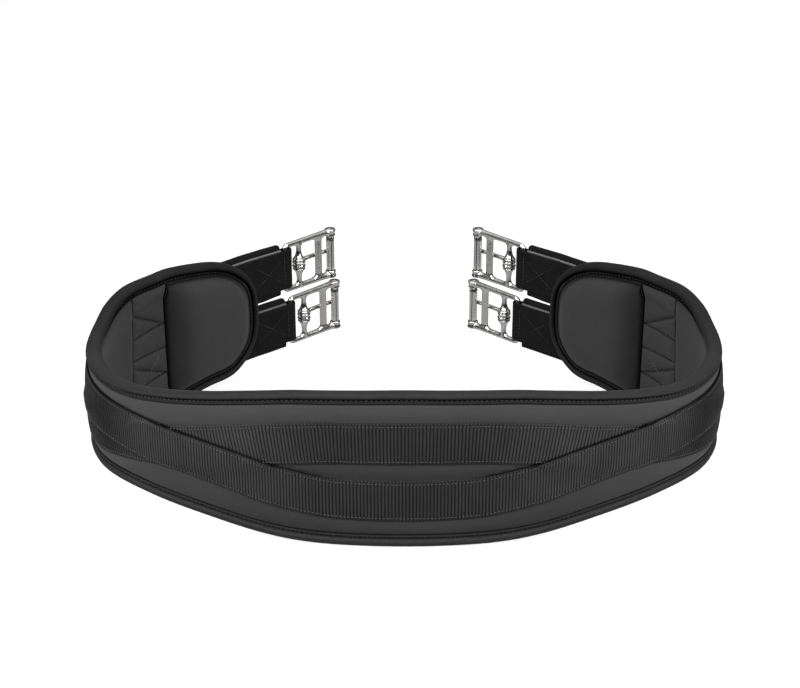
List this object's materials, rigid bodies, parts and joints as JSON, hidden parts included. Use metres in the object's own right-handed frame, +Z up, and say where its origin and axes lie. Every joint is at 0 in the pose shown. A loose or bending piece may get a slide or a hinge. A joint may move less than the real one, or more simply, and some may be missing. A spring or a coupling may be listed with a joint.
{
  "type": "saddle girth",
  "caption": "Long padded saddle girth bent into a C, with crossed ribbed webbing, a bound edge, cushioned ends, and elastic straps ending in roller buckles.",
  "frame": {"origin": "middle of the bounding box in X and Y, at the level of the lowest edge, on the girth's plane of symmetry X = 0", "axes": "+X to the girth's right seen from outside its middle, +Y from the middle towards the buckles, +Z up across the girth's width"},
  "size_m": [0.453, 0.353, 0.1121],
  "materials": {
    "outer_neoprene": "matt, fine knit face",
    "lining_neoprene": "matt, fine knit face",
    "foam": "matt, closed cell",
    "binding_tape": "soft sheen",
    "ribbed_webbing": "ribbed, soft sheen",
    "pad_neoprene": "matt, fine knit face",
    "elastic": "matt, woven",
    "core_webbing": "matt, woven",
    "strap_leather": "satin, fine grain",
    "cast_steel": "satin cast",
    "rolled_steel": "satin, rolled sheet",
    "forged_steel": "satin"
  },
  "bodies": {
    "root": {"outer_cover": "outer_neoprene", "foam_core": "foam", "inner_lining": "lining_neoprene", "edge_binding": "binding_tape", "lower_webbing": "ribbed_webbing", "upper_webbing": "ribbed_webbing", "left_end_pad_cover": "pad_neoprene", "left_end_pad_foam": "foam", "left_stitched_patch": "lining_neoprene", "right_end_pad_cover": "pad_neoprene", "right_end_pad_foam": "foam", "right_stitched_patch": "lining_neoprene", "left_upper_elastic_root": "elastic", "left_lower_elastic_root": "elastic", "right_upper_elastic_root": "elastic", "right_lower_elastic_root": "elastic"},
    "left_upper_elastic_body": {"left_upper_elastic": "elastic"},
    "left_upper_chape_body": {"left_upper_chape": "strap_leather", "left_upper_core_web": "core_webbing"},
    "left_upper_buckle_body": {"left_upper_buckle_frame": "cast_steel"},
    "left_upper_tongue_body": {"left_upper_tongue": "forged_steel"},
    "left_upper_roller_body": {"left_upper_roller": "rolled_steel"},
    "left_lower_elastic_body": {"left_lower_elastic": "elastic"},
    "left_lower_chape_body": {"left_lower_chape": "strap_leather", "left_lower_core_web": "core_webbing"},
    "left_lower_buckle_body": {"left_lower_buckle_frame": "cast_steel"},
    "left_lower_tongue_body": {"left_lower_tongue": "forged_steel"},
    "left_lower_roller_body": {"left_lower_roller": "rolled_steel"},
    "right_upper_elastic_body": {"right_upper_elastic": "elastic"},
    "right_upper_chape_body": {"right_upper_chape": "strap_leather", "right_upper_core_web": "core_webbing"},
    "right_upper_buckle_body": {"right_upper_buckle_frame": "cast_steel"},
    "right_upper_tongue_body": {"right_upper_tongue": "forged_steel"},
    "right_upper_roller_body": {"right_upper_roller": "rolled_steel"},
    "right_lower_elastic_body": {"right_lower_elastic": "elastic"},
    "right_lower_chape_body": {"right_lower_chape": "strap_leather", "right_lower_core_web": "core_webbing"},
    "right_lower_buckle_body": {"right_lower_buckle_frame": "cast_steel"},
    "right_lower_tongue_body": {"right_lower_tongue": "forged_steel"},
    "right_lower_roller_body": {"right_lower_roller": "rolled_steel"}
  },
  "joints": [
    {"name": "left_upper_flex", "type": "hinge", "parent": "root", "child": "left_upper_elastic_body", "pos_m": [-0.18291, 0.04351, 0.07671], "axis": [0, 0, 1], "range_deg": [0, 30]},
    {"name": "left_upper_stretch", "type": "slide", "parent": "left_upper_elastic_body", "child": "left_upper_chape_body", "axis": [0.7017, 0.7125, 0], "range_m": [0, 0.018]},
    {"name": "left_upper_buckle_swing", "type": "hinge", "parent": "left_upper_chape_body", "child": "left_upper_buckle_body", "pos_m": [-0.09552, 0.1312, 0.07671], "axis": [0, 0, 1], "range_deg": [-45, 60]},
    {"name": "left_upper_tongue_swing", "type": "hinge", "parent": "left_upper_buckle_body", "child": "left_upper_tongue_body", "pos_m": [-0.08499, 0.14189, 0.07671], "axis": [0, 0, 1], "range_deg": [0, 115]},
    {"name": "left_upper_roller_spin", "type": "hinge", "parent": "left_upper_buckle_body", "child": "left_upper_roller_body", "pos_m": [-0.06057, 0.16668, 0.07671], "axis": [0, 0, 1], "continuous": true},
    {"name": "left_lower_flex", "type": "hinge", "parent": "root", "child": "left_lower_elastic_body", "pos_m": [-0.18291, 0.04351, 0.03051], "axis": [0, 0, 1], "range_deg": [0, 30]},
    {"name": "left_lower_stretch", "type": "slide", "parent": "left_lower_elastic_body", "child": "left_lower_chape_body", "axis": [0.7017, 0.7125, 0], "range_m": [0, 0.018]},
    {"name": "left_lower_buckle_swing", "type": "hinge", "parent": "left_lower_chape_body", "child": "left_lower_buckle_body", "pos_m": [-0.09271, 0.13405, 0.03051], "axis": [0, 0, 1], "range_deg": [-45, 60]},
    {"name": "left_lower_tongue_swing", "type": "hinge", "parent": "left_lower_buckle_body", "child": "left_lower_tongue_body", "pos_m": [-0.08219, 0.14474, 0.03051], "axis": [0, 0, 1], "range_deg": [0, 115]},
    {"name": "left_lower_roller_spin", "type": "hinge", "parent": "left_lower_buckle_body", "child": "left_lower_roller_body", "pos_m": [-0.05777, 0.16953, 0.03051], "axis": [0, 0, 1], "continuous": true},
    {"name": "right_upper_flex", "type": "hinge", "parent": "root", "child": "right_upper_elastic_body", "pos_m": [0.18291, 0.04351, 0.07671], "axis": [0, 0, -1], "range_deg": [0, 30]},
    {"name": "right_upper_stretch", "type": "slide", "parent": "right_upper_elastic_body", "child": "right_upper_chape_body", "axis": [-0.7017, 0.7125, 0], "range_m": [0, 0.018]},
    {"name": "right_upper_buckle_swing", "type": "hinge", "parent": "right_upper_chape_body", "child": "right_upper_buckle_body", "pos_m": [0.09552, 0.1312, 0.07671], "axis": [0, 0, -1], "range_deg": [-45, 60]},
    {"name": "right_upper_tongue_swing", "type": "hinge", "parent": "right_upper_buckle_body", "child": "right_upper_tongue_body", "pos_m": [0.08499, 0.14189, 0.07671], "axis": [0, 0, -1], "range_deg": [0, 115]},
    {"name": "right_upper_roller_spin", "type": "hinge", "parent": "right_upper_buckle_body", "child": "right_upper_roller_body", "pos_m": [0.06057, 0.16668, 0.07671], "axis": [0, 0, 1], "continuous": true},
    {"name": "right_lower_flex", "type": "hinge", "parent": "root", "child": "right_lower_elastic_body", "pos_m": [0.18291, 0.04351, 0.03051], "axis": [0, 0, -1], "range_deg": [0, 30]},
    {"name": "right_lower_stretch", "type": "slide", "parent": "right_lower_elastic_body", "child": "right_lower_chape_body", "axis": [-0.7017, 0.7125, 0], "range_m": [0, 0.018]},
    {"name": "right_lower_buckle_swing", "type": "hinge", "parent": "right_lower_chape_body", "child": "right_lower_buckle_body", "pos_m": [0.09271, 0.13405, 0.03051], "axis": [0, 0, -1], "range_deg": [-45, 60]},
    {"name": "right_lower_tongue_swing", "type": "hinge", "parent": "right_lower_buckle_body", "child": "right_lower_tongue_body", "pos_m": [0.08219, 0.14474, 0.03051], "axis": [0, 0, -1], "range_deg": [0, 115]},
    {"name": "right_lower_roller_spin", "type": "hinge", "parent": "right_lower_buckle_body", "child": "right_lower_roller_body", "pos_m": [0.05777, 0.16953, 0.03051], "axis": [0, 0, 1], "continuous": true}
  ]
}
